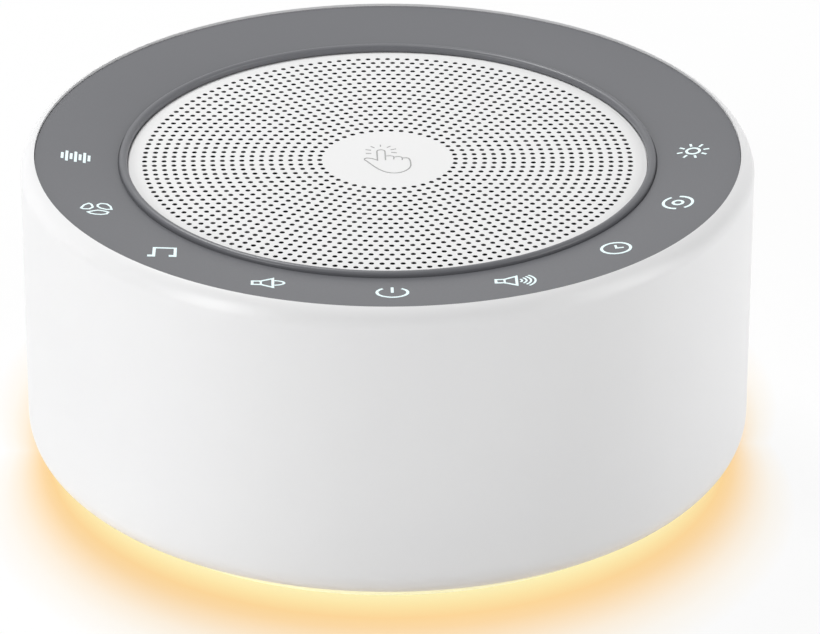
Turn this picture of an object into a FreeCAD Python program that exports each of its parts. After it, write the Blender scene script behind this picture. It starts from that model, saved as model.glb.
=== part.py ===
"""Round white noise sound machine: a drum-shaped speaker with a touch ring on top and a lamp below.

Millimetres, +Z up. The origin is on the table, under the centre of the drum.
"""
import FreeCAD, Part
import Sketcher
import math
import os
import re

V = FreeCAD.Vector
doc = FreeCAD.newDocument("SoundMachine")

# Driving sizes
SIZES = {
    "body_radius": 56.0,
    "body_height": 48.5,
    "shell_wall": 2.1,
    "shoulder_radius": 3.5,
    "base_edge_radius": 5.0,
    "shell_flange_width": 7.4,
    "shell_flange_thickness": 2.2,
    "ledge_width": 2.5,
    "ledge_thickness": 2.0,
    "fit_gap": 0.2,
    "foot_stand": 1.0,
    "foot_radius": 5.0,
    "foot_recess": 0.6,
    "foot_inset": 5.8,
    "cover_thickness": 2.0,
    "cover_inset": 3.0,
    "diffuser_rise": 1.0,
    "diffuser_lap": 1.6,
    "diffuser_flange": 2.0,
    "diffuser_drop": 1.6,
    "diffuser_reach": 3.7,
    "diffuser_edge": 0.9,
    "diffuser_spigot": 1.5,
    "pillar_inset": 1.2,
    "pillar_radius": 3.5,
    "pillar_bore": 1.25,
    "pillar_bore_depth": 12.0,
    "base_screw_radius": 1.15,
    "base_screw_length": 10.0,
    "screw_head_radius": 2.6,
    "screw_head_height": 1.2,
    "led_standoff": 3.0,
    "led_standoff_radius": 1.9,
    "led_board_width": 5.3,
    "led_board_thickness": 1.2,
    "led_height": 0.8,
    "led_inset": 1.7,
    "led_screw_gap": 0.4,
    "light_led_count": 12,
    "small_screw_radius": 0.6,
    "small_screw_head": 1.5,
    "small_head_height": 1.0,
    "post_height": 9.0,
    "post_radius": 2.5,
    "post_inset": 3.5,
    "post_front_inset": 4.0,
    "post_rear_inset": 5.0,
    "board_screw_radius": 0.8,
    "board_screw_head": 2.0,
    "board_screw_length": 7.0,
    "main_board_thickness": 1.6,
    "board_side_gap": 1.6,
    "board_front_inset": 11.8,
    "board_rear_inset": 3.8,
    "board_tail_width": 18.0,
    "connector_height": 3.6,
    "jack_width": 14.4,
    "jack_height": 11.0,
    "jack_length": 12.2,
    "jack_axis_height": 6.5,
    "jack_bore_radius": 3.15,
    "jack_bore_depth": 9.5,
    "jack_pin_radius": 1.0,
    "jack_opening_radius": 4.5,
    "ring_face_width": 14.15,
    "grille_lap": 2.25,
    "grille_thickness": 1.2,
    "grille_depth": 2.5,
    "hole_pitch": 2.97,
    "hole_radius": 0.8,
    "plain_centre_radius": 10.0,
    "bead_width": 1.55,
    "bead_rise": 0.75,
    "ring_sink": 0.67,
    "ring_dish": 1.3,
    "ring_groove_width": 0.4,
    "ring_groove_depth": 0.25,
    "ring_body_depth": 0.8,
    "icon_inset": 6.6,
    "icon_pitch": 22.3,
    "icon_window_radius": 2.8,
    "baffle_thickness": 1.8,
    "touch_board_thickness": 1.2,
    "deck_thickness": 2.0,
    "deck_rim": 1.5,
    "speaker_margin": 6.0,
    "collar_wall": 3.4,
    "collar_lap": 0.9,
    "collar_rebate": 1.7,
    "cloth_thickness": 0.3,
    "touch_pad_radius": 8.5,
    "touch_pad_thickness": 0.7,
    "touch_tail_width": 1.5,
    "gasket_thickness": 0.8,
    "gasket_width": 2.2,
    "basket_rim": 2.5,
    "basket_lip_width": 1.6,
    "basket_flange": 1.0,
    "basket_sheet": 1.3,
    "basket_depth": 12.4,
    "basket_base_margin": 1.2,
    "ear_reach": 2.7,
    "ear_radius": 3.2,
    "ear_bore": 1.1,
    "ear_boss_radius": 2.5,
    "top_plate_thickness": 3.0,
    "speaker_clearance": 3.9,
    "yoke_thickness": 3.0,
    "magnet_radius": 16.0,
    "magnet_bore_step": 0.95,
    "plate_inset": 1.0,
    "pole_radius": 6.8,
    "coil_clearance_in": 0.2,
    "coil_clearance_out": 0.23,
    "former_wall": 0.12,
    "former_length": 11.0,
    "former_lap": 0.5,
    "winding_wall": 0.3,
    "winding_length": 5.6,
    "surround_width": 5.0,
    "cone_sheet": 0.5,
    "cone_depth": 7.0,
    "cone_lip_drop": 0.3,
    "dust_cap_radius": 9.2,
    "dust_cap_rise": 3.0,
    "surround_sheet": 0.4,
    "spider_gap": 0.08,
    "spider_rise": 2.0,
    "spider_sheet": 0.3,
    "spider_wave": 0.8,
}

sheet = doc.addObject("Spreadsheet::Sheet", "Sizes")
for row, (alias, number) in enumerate(SIZES.items(), start=1):
    sheet.set(f"A{row}", alias)
    sheet.set(f"B{row}", str(number))
    sheet.setAlias(f"B{row}", alias)
doc.recompute()


def formula(text):
    """Write a size formula the way an expression wants it, with the sheet before each name."""
    return re.sub(r"[a-z_][a-z0-9_]*", lambda m: "Sizes." + m[0] if m[0] in SIZES else m[0], str(text))


def value(text):
    """The number that a formula gives now."""
    result = sheet.evalExpression(formula(text))
    return float(getattr(result, "Value", result))


def bind(item, prop, text):
    item.setExpression(prop, formula(text))


# Levels from the table up
cover_bottom = "foot_stand"
cover_top = "(foot_stand + cover_thickness)"
shell_bottom = f"({cover_top} + diffuser_rise)"
shell_top = f"({shell_bottom} + body_height)"
diffuser_top = f"({cover_top} + diffuser_flange)"
led_board_bottom = f"({diffuser_top} + led_standoff)"
led_board_top = f"({led_board_bottom} + led_board_thickness)"
board_bottom = f"({cover_top} + post_height)"
board_top = f"({board_bottom} + main_board_thickness)"
jack_axis = f"({board_top} + jack_axis_height)"
ring_edge = f"({shell_top} - ring_sink)"
grille_top = f"({shell_top} - grille_depth)"
grille_bottom = f"({grille_top} - grille_thickness)"
ring_bottom = f"({grille_top} - ring_body_depth)"
baffle_bottom = f"({ring_bottom} - baffle_thickness)"
deck_top = f"({baffle_bottom} - touch_board_thickness)"
deck_bottom = f"({deck_top} - deck_thickness)"
ledge_bottom = f"({deck_bottom} - ledge_thickness)"
cloth_seat = f"({grille_bottom} - cloth_thickness - 0.5 * fit_gap)"
basket_top = f"({deck_bottom} - gasket_thickness)"
ear_bottom = f"({basket_top} - basket_flange)"
plate_top = f"({ear_bottom} - basket_depth)"
plate_bottom = f"({plate_top} - top_plate_thickness)"
yoke_bottom = f"({board_top} + speaker_clearance)"
magnet_bottom = f"({yoke_bottom} + yoke_thickness)"
cone_top = f"({basket_top} - cone_lip_drop)"
cone_bottom = f"({cone_top} - cone_depth)"
former_top = f"({cone_bottom} + former_lap)"
former_bottom = f"({former_top} - former_length)"
spider_level = f"({plate_top} + basket_flange + spider_rise)"

# Radii from the wall inwards
bore_radius = "(body_radius - shell_wall)"
flange_bore = f"({bore_radius} - shell_flange_width)"
ledge_bore = f"({bore_radius} - ledge_width)"
deck_radius = f"({bore_radius} - fit_gap)"
rim_bore = f"({deck_radius} - deck_rim)"
icon_circle = f"({bore_radius} - icon_inset)"
grille_view_radius = f"({bore_radius} - ring_face_width)"
grille_radius = f"({grille_view_radius} + grille_lap)"
collar_radius = f"({grille_radius} + collar_lap)"
board_inner = f"({collar_radius} + fit_gap)"
board_outer = f"({rim_bore} - fit_gap)"
spigot_radius = f"({flange_bore} - fit_gap)"
spigot_bore = f"({spigot_radius} - diffuser_spigot)"
cover_radius = f"({spigot_bore} - cover_inset)"
diffuser_bore = f"({cover_radius} - diffuser_lap)"
led_board_outer = f"({diffuser_bore} + led_board_width)"
led_screw_circle = f"({diffuser_bore} + led_standoff_radius + led_screw_gap)"
led_circle = f"({led_board_outer} - led_inset)"
foot_circle = f"({cover_radius} - foot_radius - foot_inset)"
pillar_circle = f"({diffuser_bore} - pillar_radius - pillar_inset)"

# Main board, between the pillars
main_board_width = f"(2 * ({pillar_circle} * cos(45) - pillar_radius - board_side_gap))"
main_board_front = f"({cover_radius} - board_front_inset)"
main_board_rear = f"({cover_radius} - board_rear_inset)"

# Speaker radii from the deck's opening inwards, and from the pole outwards
deck_opening = f"({pillar_circle} - pillar_radius - speaker_margin)"
basket_radius = f"({deck_opening} + basket_rim)"
basket_lip = f"({deck_opening} - basket_lip_width)"
ear_circle = f"({basket_radius} + ear_reach)"
cone_radius = f"({deck_opening} - surround_width)"
former_radius = "(pole_radius + coil_clearance_in + former_wall)"
winding_radius = f"({former_radius} + winding_wall)"
plate_bore = f"({winding_radius} + coil_clearance_out)"
magnet_bore = f"({plate_bore} + magnet_bore_step)"
plate_radius = "(magnet_radius - plate_inset)"
basket_base_radius = f"({plate_radius} + basket_base_margin)"
basket_base_inner = f"({basket_base_radius} - basket_sheet / 2)"
spider_seat = f"({basket_base_inner} + ({basket_lip} - {basket_base_inner}) * spider_rise / basket_depth)"
spider_radius = f"({spider_seat} - spider_gap)"

ICON_COUNT = 9
icon_start = f"(-90 - {(ICON_COUNT - 1) / 2} * icon_pitch)"
icon_angles = [f"({icon_start} + {step} * icon_pitch)" for step in range(ICON_COUNT)]
QUARTERS = [0, 90, 180, 270]
DIAGONALS = [45, 135, 225, 315]

# Where the three cables plug into the main board
SPEAKER_PLUG = ("0", f"(2 - {basket_radius})")
TOUCH_PLUG = (f"(10.5 - {main_board_width} / 2)", f"({main_board_rear} - 2)")
LIGHT_PLUG = (f"(2.5 - {main_board_width} / 2)", f"(post_front_inset - {main_board_front} + 6.5)")

PARTS = {}


def finish(name, item):
    """Give a finished piece its name and keep it for the last check."""
    item.Label = name
    PARTS[name] = item
    return item


def origin_plane(body, role):
    return next(item for item in body.Origin.OriginFeatures if item.Role == role)


def arc_between(first, last, radius, side):
    """An arc of under half a turn between two points, its centre left or right of the way there."""
    chord = last - first
    middle = (first + last) * 0.5
    rise = math.sqrt(max(radius ** 2 - (chord.Length / 2) ** 2, 0.0))
    normal = V(-chord.y, chord.x, 0) / chord.Length
    centre = middle + normal * (rise if side == "left" else -rise)
    start, end = (first, last) if side == "left" else (last, first)
    angles = [math.atan2(p.y - centre.y, p.x - centre.x) for p in (start, end)]
    if angles[1] < angles[0]:
        angles[1] += 2 * math.pi
    return Part.ArcOfCircle(Part.Circle(centre, V(0, 0, 1), radius), angles[0], angles[1])


def outline(body, name, role, rows, level=None):
    """A closed sketch. A row is (x, y), or (x, y, side, radius) where an arc leads to the next row."""
    sketch = body.newObject("Sketcher::SketchObject", name)
    sketch.AttachmentSupport = (origin_plane(body, role), [""])
    sketch.MapMode = "FlatFace"
    if level is not None:
        bind(sketch, "AttachmentOffset.Base.z", level)
    points = [V(value(row[0]), value(row[1]), 0) for row in rows]
    count = len(rows)
    starts = []
    for index, row in enumerate(rows):
        here = points[index]
        there = points[(index + 1) % count]
        if len(row) == 4:
            sketch.addGeometry(arc_between(here, there, value(row[3]), row[2]))
            starts.append((1, 2) if row[2] == "left" else (2, 1))
        else:
            sketch.addGeometry(Part.LineSegment(here, there))
            starts.append((1, 2))
    for index, row in enumerate(rows):
        following = (index + 1) % count
        sketch.addConstraint(Sketcher.Constraint("Coincident", index, starts[index][1],
                                                 following, starts[following][0]))
    for index, row in enumerate(rows):
        for axis, (kind, text) in enumerate((("DistanceX", row[0]), ("DistanceY", row[1]))):
            here = points[index][axis]
            if str(text) == "0":
                line = -2 if axis == 0 else -1
                sketch.addConstraint(Sketcher.Constraint("PointOnObject", index, starts[index][0], line))
                continue
            number = sketch.addConstraint(Sketcher.Constraint(kind, -1, 1, index, starts[index][0], here))
            bind(sketch, f"Constraints[{number}]", text)
        if len(row) == 4:
            number = sketch.addConstraint(Sketcher.Constraint("Radius", index, value(row[3])))
            bind(sketch, f"Constraints[{number}]", row[3])
    return sketch


def turned(name, rows):
    """A body turned about the upright axis from a section given as (radius, height) rows."""
    body = doc.addObject("PartDesign::Body", name)
    sketch = outline(body, name + "_section", "XZ_Plane", rows)
    turn = body.newObject("PartDesign::Revolution", name + "_turn")
    turn.Profile = sketch
    turn.ReferenceAxis = (sketch, ["V_Axis"])
    turn.Angle = 360
    return body


def ring(name, inner, outer, low, high):
    return turned(name, [(inner, low), (outer, low), (outer, high), (inner, high)])


def plate(name, rows, low, thickness):
    """A flat body padded upwards from an outline in plan."""
    body = doc.addObject("PartDesign::Body", name)
    sketch = outline(body, name + "_plan", "XY_Plane", rows, low)
    pad = body.newObject("PartDesign::Pad", name + "_pad")
    pad.Profile = sketch
    bind(pad, "Length", thickness)
    return body


def place(item, x, y, z):
    for axis, text in zip("xyz", (x, y, z)):
        bind(item, f"Placement.Base.{axis}", text)


def rod(name, radius, length, x, y, z, lying=False):
    """A cylinder standing on its foot point, or lying so that it runs towards -Y."""
    item = doc.addObject("Part::Cylinder", name)
    bind(item, "Radius", radius)
    bind(item, "Height", length)
    if lying:
        item.Placement = FreeCAD.Placement(V(), FreeCAD.Rotation(V(1, 0, 0), 90))
    place(item, x, y, z)
    return item


def block(name, width, depth, height, x, y, z):
    """A box centred on x and y, standing on z."""
    item = doc.addObject("Part::Box", name)
    bind(item, "Length", width)
    bind(item, "Width", depth)
    bind(item, "Height", height)
    place(item, f"{x} - ({width}) / 2", f"{y} - ({depth}) / 2", z)
    return item


def group(name, items):
    item = doc.addObject("Part::Compound", name)
    item.Links = items
    return item


def fused(name, items):
    item = doc.addObject("Part::MultiFuse", name)
    item.Shapes = items
    return item


def cut(name, base, tools):
    item = doc.addObject("Part::Cut", name)
    item.Base = base
    item.Tool = tools[0] if len(tools) == 1 else group(name + "_tools", tools)
    return item


def around(circle, angle):
    """The plan position at an angle, in degrees, on a circle."""
    return f"{circle} * cos({angle})", f"{circle} * sin({angle})"


def rods_around(name, radius, length, circle, angles, z):
    return [rod(f"{name}_{index}", radius, length, *around(circle, angle), z)
            for index, angle in enumerate(angles, start=1)]


def screws(name, places, head_radius, head_height, shank_radius, shank_length, seat, points_up):
    """Pan-head screws with their heads seated at one level, the shanks pointing up or down."""
    items = []
    for index, (x, y) in enumerate(places, start=1):
        head_foot = f"{seat} - ({head_height})" if points_up else seat
        shank_foot = seat if points_up else f"{seat} - ({shank_length})"
        head = rod(f"{name}_head_{index}", head_radius, head_height, x, y, head_foot)
        shank = rod(f"{name}_shank_{index}", shank_radius, shank_length, x, y, shank_foot)
        items.append(fused(f"{name}_{index}", [head, shank]))
    return finish(name, group(name, items))


def cable(name, points, radius):
    """A round cable along straight runs joined by tangent arcs."""
    route = [V(*(value(part) for part in point)) for point in points]
    edges = []
    start = route[0]
    for before, corner, after in zip(route, route[1:], route[2:]):
        runs = (before - corner).Length, (after - corner).Length
        toward = (before - corner) / runs[0]
        onward = (after - corner) / runs[1]
        half_turn = (math.pi - toward.getAngle(onward)) / 2
        reach = 0.45 * min(runs)
        bend_radius = reach / math.tan(half_turn)
        first = corner + toward * reach
        last = corner + onward * reach
        inward = (toward + onward).normalize()
        middle = corner + inward * (bend_radius / math.cos(half_turn) - bend_radius)
        print(name, "bend radius", round(bend_radius, 1))
        edges.append(Part.LineSegment(start, first).toShape())
        edges.append(Part.Arc(first, middle, last).toShape())
        start = last
    edges.append(Part.LineSegment(start, route[-1]).toShape())
    path = Part.Wire(edges)
    section = Part.Wire(Part.makeCircle(value(radius), route[0], route[1] - route[0]))
    item = doc.addObject("Part::Feature", name)
    item.Shape = path.makePipeShell([section], True, False)
    return finish(name, item)


# Housing shell: drum wall, shoulder, deck ledge, bottom flange and the hole for the power plug
def make_housing_shell():
    rim = f"({shell_top} - shoulder_radius + sqrt(shoulder_radius ^ 2 - (shoulder_radius - shell_wall) ^ 2))"
    wall = turned("housing_wall", [
        (flange_bore, shell_bottom),
        ("body_radius - base_edge_radius", shell_bottom, "left", "base_edge_radius"),
        ("body_radius", f"{shell_bottom} + base_edge_radius"),
        ("body_radius", f"{shell_top} - shoulder_radius", "left", "shoulder_radius"),
        (bore_radius, rim),
        (bore_radius, deck_bottom),
        (ledge_bore, deck_bottom),
        (ledge_bore, ledge_bottom),
        (bore_radius, f"{ledge_bottom} - ledge_width"),
        (bore_radius, f"{shell_bottom} + shell_flange_thickness"),
        (flange_bore, f"{shell_bottom} + shell_flange_thickness"),
    ])
    hole = rod("plug_hole", "jack_opening_radius", "2 * shell_wall + 4",
               "0", "body_radius + 2", jack_axis, True)
    finish("housing_shell", cut("housing_shell", wall, [hole]))


# Light diffuser: the clear ring under the drum, with standoffs for the ring of lamps
def make_light_diffuser():
    low = f"({cover_top} - diffuser_drop)"
    rim = f"({spigot_radius} + diffuser_reach)"
    body = turned("diffuser_ring", [
        (diffuser_bore, cover_top),
        (f"{cover_radius} + 2 * fit_gap", cover_top),
        (f"{cover_radius} + 2 * fit_gap", low),
        (f"{rim} - diffuser_drop", low),
        (rim, cover_top),
        (rim, f"{cover_top} + diffuser_edge"),
        (f"{rim} - 0.3", shell_bottom),
        (spigot_radius, shell_bottom),
        (spigot_radius, f"{shell_bottom} + shell_flange_thickness"),
        (spigot_bore, f"{shell_bottom} + shell_flange_thickness"),
        (spigot_bore, diffuser_top),
        (diffuser_bore, diffuser_top),
    ])
    standoffs = rods_around("led_standoff_post", "led_standoff_radius", "led_standoff + 0.5 * diffuser_flange",
                            led_screw_circle, QUARTERS, f"{diffuser_top} - 0.5 * diffuser_flange")
    bores = rods_around("led_standoff_bore", "small_screw_radius + 0.1", "led_standoff + 1",
                        led_screw_circle, QUARTERS, f"{diffuser_top} - 0.5")
    finish("light_diffuser", cut("light_diffuser", fused("diffuser_blank", [body] + standoffs), bores))


# Bottom cover with its board posts, foot recesses and counterbored screw holes
def post_places():
    depths = (f"post_front_inset - {main_board_front}", f"{main_board_rear} - post_rear_inset")
    return [(f"{side} * ({main_board_width} / 2 - post_inset)", depth) for side in (-1, 1) for depth in depths]


def make_bottom_cover():
    disc = rod("cover_disc", cover_radius, "cover_thickness", "0", "0", cover_bottom)
    posts = []
    tools = []
    for index, (x, y) in enumerate(post_places(), start=1):
        posts.append(rod(f"board_post_{index}", "post_radius", "post_height + cover_thickness / 2",
                         x, y, f"{cover_top} - cover_thickness / 2"))
        tools.append(rod(f"board_post_bore_{index}", "board_screw_radius + 0.1", "board_screw_length",
                         x, y, f"{board_bottom} - board_screw_length + 0.5"))
    tools += rods_around("foot_recess_cut", "foot_radius + fit_gap", "foot_recess + 1",
                         foot_circle, QUARTERS, f"{cover_bottom} - 1")
    tools += rods_around("cover_screw_bore", "base_screw_radius + 0.35", "cover_thickness + 2",
                         pillar_circle, DIAGONALS, f"{cover_bottom} - 1")
    tools += rods_around("cover_counterbore", "screw_head_radius + fit_gap", "screw_head_height + 0.1 + 1",
                         pillar_circle, DIAGONALS, f"{cover_bottom} - 1")
    finish("bottom_cover", cut("bottom_cover", fused("cover_blank", [disc] + posts), tools))


def make_feet():
    feet = rods_around("foot", "foot_radius", "foot_stand + foot_recess", foot_circle, QUARTERS, "0")
    finish("rubber_feet", group("rubber_feet", feet))


# Ring of lamps that lights the diffuser from above
def make_light_ring():
    blank = ring("led_board_blank", diffuser_bore, led_board_outer, led_board_bottom, led_board_top)
    holes = rods_around("led_board_hole", "small_screw_radius + 0.15", "led_board_thickness + 2",
                        led_screw_circle, QUARTERS, f"{led_board_bottom} - 1")
    finish("led_ring_board", cut("led_ring_board", blank, holes))
    screws("led_board_screws", [around(led_screw_circle, angle) for angle in QUARTERS],
           "small_screw_head", "small_head_height", "small_screw_radius",
           "led_board_thickness + led_standoff - 0.5", led_board_top, False)
    count = int(value("light_led_count"))
    angles = [360 / count * (step + 0.5) for step in range(count)]
    lamps = [block(f"light_led_{index}", "2.2", "2.2", "led_height", *around(led_circle, angle),
                   f"{led_board_bottom} - led_height") for index, angle in enumerate(angles, start=1)]
    finish("light_leds", group("light_leds", lamps))
    finish("light_connector", block("light_connector", "3", "6", "3",
                                    *around(led_circle, 190), led_board_top))


# Main board with its chips, capacitors, connectors and the power jack
def make_main_board():
    half = f"{main_board_width} / 2"
    tail = "board_tail_width / 2"
    end = f"(sqrt({bore_radius} ^ 2 - (board_tail_width / 2) ^ 2) - 3 * fit_gap)"
    blank = plate("main_board_blank", [
        (f"-{half}", f"-{main_board_front}"), (half, f"-{main_board_front}"), (half, main_board_rear),
        (tail, main_board_rear), (tail, end), (f"-{tail}", end),
        (f"-{tail}", main_board_rear), (f"-{half}", main_board_rear),
    ], board_bottom, "main_board_thickness")
    holes = [rod(f"main_board_hole_{index}", "board_screw_radius + 0.3", "main_board_thickness + 2",
                 x, y, f"{board_bottom} - 1") for index, (x, y) in enumerate(post_places(), start=1)]
    finish("main_board", cut("main_board", blank, holes))
    screws("main_board_screws", post_places(), "board_screw_head", "1.3", "board_screw_radius",
           "main_board_thickness + board_screw_length - 1.5", board_top, False)
    finish("controller_chip", block("controller_chip", "7", "7", "1", "0", "-6", board_top))
    finish("amplifier_chip", block("amplifier_chip", "5", "4", "1.2",
                                   "5", f"10 - {main_board_front}", board_top))
    finish("sound_memory_chip", block("sound_memory_chip", "5.3", "6", "1.5", "-9", "3", board_top))
    finish("clock_crystal", block("clock_crystal", "3.2", "2.5", "0.8", "9", "-5", board_top))
    finish("choke_coil", block("choke_coil", "6", "6", "3", "0", f"{main_board_rear} - 8", board_top))
    cans = [rod(f"filter_capacitor_{index}", "3.15", "5.4", x, f"{main_board_rear} - 11", board_top)
            for index, x in enumerate(("-10", "10"), start=1)]
    finish("filter_capacitors", group("filter_capacitors", cans))
    plugs = [("6", "4", SPEAKER_PLUG), ("8", "4", TOUCH_PLUG), ("4", "6", LIGHT_PLUG)]
    sockets = [block(f"board_connector_{index}", width, depth, "connector_height", *spot, board_top)
               for index, (width, depth, spot) in enumerate(plugs, start=1)]
    finish("board_connectors", group("board_connectors", sockets))


def make_power_jack():
    front = f"(sqrt({bore_radius} ^ 2 - (jack_width / 2) ^ 2) - fit_gap)"
    body = block("jack_block", "jack_width", "jack_length", "jack_height", "0",
                 f"{front} - jack_length / 2", board_top)
    bore = rod("jack_bore", "jack_bore_radius", "jack_bore_depth + 1", "0", f"{front} + 1", jack_axis, True)
    finish("power_jack_body", cut("power_jack_body", body, [bore]))
    finish("power_jack_pin", rod("power_jack_pin", "jack_pin_radius", "jack_bore_depth - 0.6", "0",
                                 f"{front} - 0.6", jack_axis, True))


# Deck that hangs on the shell's ledge, carries the speaker and stands on the cover with four pillars
def make_speaker_deck():
    inner = f"({collar_radius} - collar_wall)"
    rebate = f"({collar_radius} - collar_rebate)"
    body = turned("deck_disc", [
        (deck_opening, deck_bottom),
        (deck_radius, deck_bottom),
        (deck_radius, ring_bottom),
        (rim_bore, ring_bottom),
        (rim_bore, deck_top),
        (collar_radius, deck_top),
        (collar_radius, grille_bottom),
        (rebate, grille_bottom),
        (rebate, cloth_seat),
        (inner, cloth_seat),
        (inner, deck_top),
        (deck_opening, deck_top),
    ])
    pillars = rods_around("deck_pillar", "pillar_radius", f"{deck_bottom} - {cover_top} + deck_thickness / 2",
                          pillar_circle, DIAGONALS, cover_top)
    bosses = rods_around("ear_boss", "ear_boss_radius", "gasket_thickness + deck_thickness / 2",
                         ear_circle, QUARTERS, basket_top)
    tools = rods_around("pillar_bore_cut", "pillar_bore", "pillar_bore_depth",
                        pillar_circle, DIAGONALS, cover_top)
    tools += rods_around("ear_pilot", "board_screw_radius + 0.1", "gasket_thickness + deck_thickness + 2",
                         ear_circle, QUARTERS, f"{basket_top} - 1")
    tools.append(block("cable_slot", "5", "9", "deck_thickness + 2", *around(icon_circle, 150),
                       f"{deck_bottom} - 1"))
    tools.append(block("pad_tail_notch", "touch_tail_width + 1", "collar_wall + 2",
                       f"{grille_bottom} - {cloth_seat} + touch_pad_thickness",
                       "0", f"{collar_radius} - collar_wall / 2", f"{grille_bottom} - touch_pad_thickness - 0.1"))
    finish("speaker_deck", cut("speaker_deck", fused("deck_blank", [body] + pillars + bosses), tools))
    seat = f"({cover_bottom} + screw_head_height + 0.1)"
    screws("base_screws", [around(pillar_circle, angle) for angle in DIAGONALS], "screw_head_radius",
           "screw_head_height", "base_screw_radius", "base_screw_length", seat, True)


# Touch parts under the ring
def make_touch_parts():
    finish("touch_board", ring("touch_board", board_inner, board_outer, deck_top, baffle_bottom))
    blank = ring("baffle_blank", board_inner, board_outer, baffle_bottom, ring_bottom)
    tools = rods_around("icon_window", "icon_window_radius", "baffle_thickness + 2",
                        icon_circle, icon_angles, f"{baffle_bottom} - 1")
    tools.append(block("pad_tail_slot", "touch_tail_width + 1", "4", "baffle_thickness + 2",
                       "0", f"{board_inner} + 1", f"{baffle_bottom} - 1"))
    finish("icon_light_baffle", cut("icon_light_baffle", blank, tools))
    guides = rods_around("icon_light_guide", "icon_window_radius - fit_gap", "baffle_thickness - 0.8",
                         icon_circle, icon_angles, f"{baffle_bottom} + 0.8")
    finish("icon_light_guides", group("icon_light_guides", guides))
    lamps = [block(f"icon_led_{index}", "1.6", "1.6", "0.6", *around(icon_circle, angle), baffle_bottom)
             for index, angle in enumerate(icon_angles, start=1)]
    finish("icon_leds", group("icon_leds", lamps))
    finish("touch_connector", block("touch_connector", "4", "8", "deck_thickness + 0.6",
                                    *around(icon_circle, 150), f"{deck_bottom} - 0.6"))
    pad_level = f"({grille_bottom} - touch_pad_thickness)"
    disc = rod("pad_disc", "touch_pad_radius", "touch_pad_thickness", "0", "0", pad_level)
    tail_end = f"({board_inner} + 2)"
    tail = block("pad_tail", "touch_tail_width", tail_end, "cloth_thickness",
                 "0", f"{tail_end} / 2", pad_level)
    foot = block("pad_foot", "touch_tail_width", "1.5", f"{pad_level} - {baffle_bottom} + cloth_thickness",
                 "0", f"{tail_end} - 0.75", baffle_bottom)
    finish("centre_touch_pad", fused("centre_touch_pad", [disc, tail, foot]))
    finish("acoustic_cloth", ring("acoustic_cloth", "touch_pad_radius + 0.5",
                                  f"{collar_radius} - collar_rebate - fit_gap", cloth_seat,
                                  f"{cloth_seat} + cloth_thickness"))


# Ring panel: dished face, groove and rounded bead round the grille
def make_ring_panel():
    outer = f"({bore_radius} - fit_gap / 4)"
    foot = f"({grille_view_radius} + bead_width)"
    groove = f"({foot} + ring_groove_width)"
    dish = f"({ring_edge} - ring_dish)"
    crest = f"({grille_top} + bead_rise)"
    shoulder = f"({crest} - bead_width / 4)"
    under = f"({grille_top} + fit_gap / 4)"
    finish("touch_ring_panel", turned("touch_ring_panel", [
        (f"{grille_radius} + fit_gap", ring_bottom),
        (outer, ring_bottom),
        (outer, ring_edge),
        (groove, dish),
        (f"{groove} - ring_groove_width / 4", f"{dish} - ring_groove_depth"),
        (foot, f"{dish} - ring_groove_depth"),
        (foot, shoulder, "left", "bead_width * 0.625"),
        (grille_view_radius, shoulder),
        (grille_view_radius, under),
        (f"{grille_radius} + fit_gap", under),
    ]))


# Perforated grille disc: ring number n has six times n holes
def make_grille():
    radius = value(grille_radius)
    thickness = value("grille_thickness")
    pitch = value("hole_pitch")
    hole = value("hole_radius")
    first = math.ceil((value("plain_centre_radius") + hole) / pitch)
    last = math.floor((value(grille_view_radius) - 2 * hole) / pitch)
    base = value(grille_bottom)

    def tube(tube_radius, x=0.0, y=0.0):
        circle = Part.makeCircle(tube_radius, V(x, y, base))
        wall = circle.extrude(V(0, 0, thickness))
        rims = [edge for edge in wall.Edges if edge.isClosed()]
        rims.sort(key=lambda edge: edge.BoundBox.ZMin)
        for edge in rims:
            edge.Orientation = "Forward"
        return wall, rims

    def band(level, outside, insides):
        wires = [Part.Wire(outside[level])]
        for rims in insides:
            wire = Part.Wire(rims[level])
            wire.reverse()
            wires.append(wire)
        return Part.Face(wires)

    faces = []
    inside = []
    for number in range(first - 1, last + 1):
        holes = []
        if number >= first:
            for step in range(6 * number):
                angle = math.pi * step / (3 * number)
                wall, rims = tube(hole, number * pitch * math.cos(angle), number * pitch * math.sin(angle))
                faces.append(wall)
                holes.append(rims)
        edge_radius = radius if number == last else (number + 0.5) * pitch
        wall, rims = tube(edge_radius)
        if number == last:
            wall.reverse()
            faces.append(wall)
        lower = band(0, rims, inside + holes)
        lower.reverse()
        faces += [lower, band(1, rims, inside + holes)]
        inside = [rims]
    item = doc.addObject("Part::Feature", "speaker_grille")
    item.Shape = Part.Solid(Part.Shell(faces))
    finish("speaker_grille", item)


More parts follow.
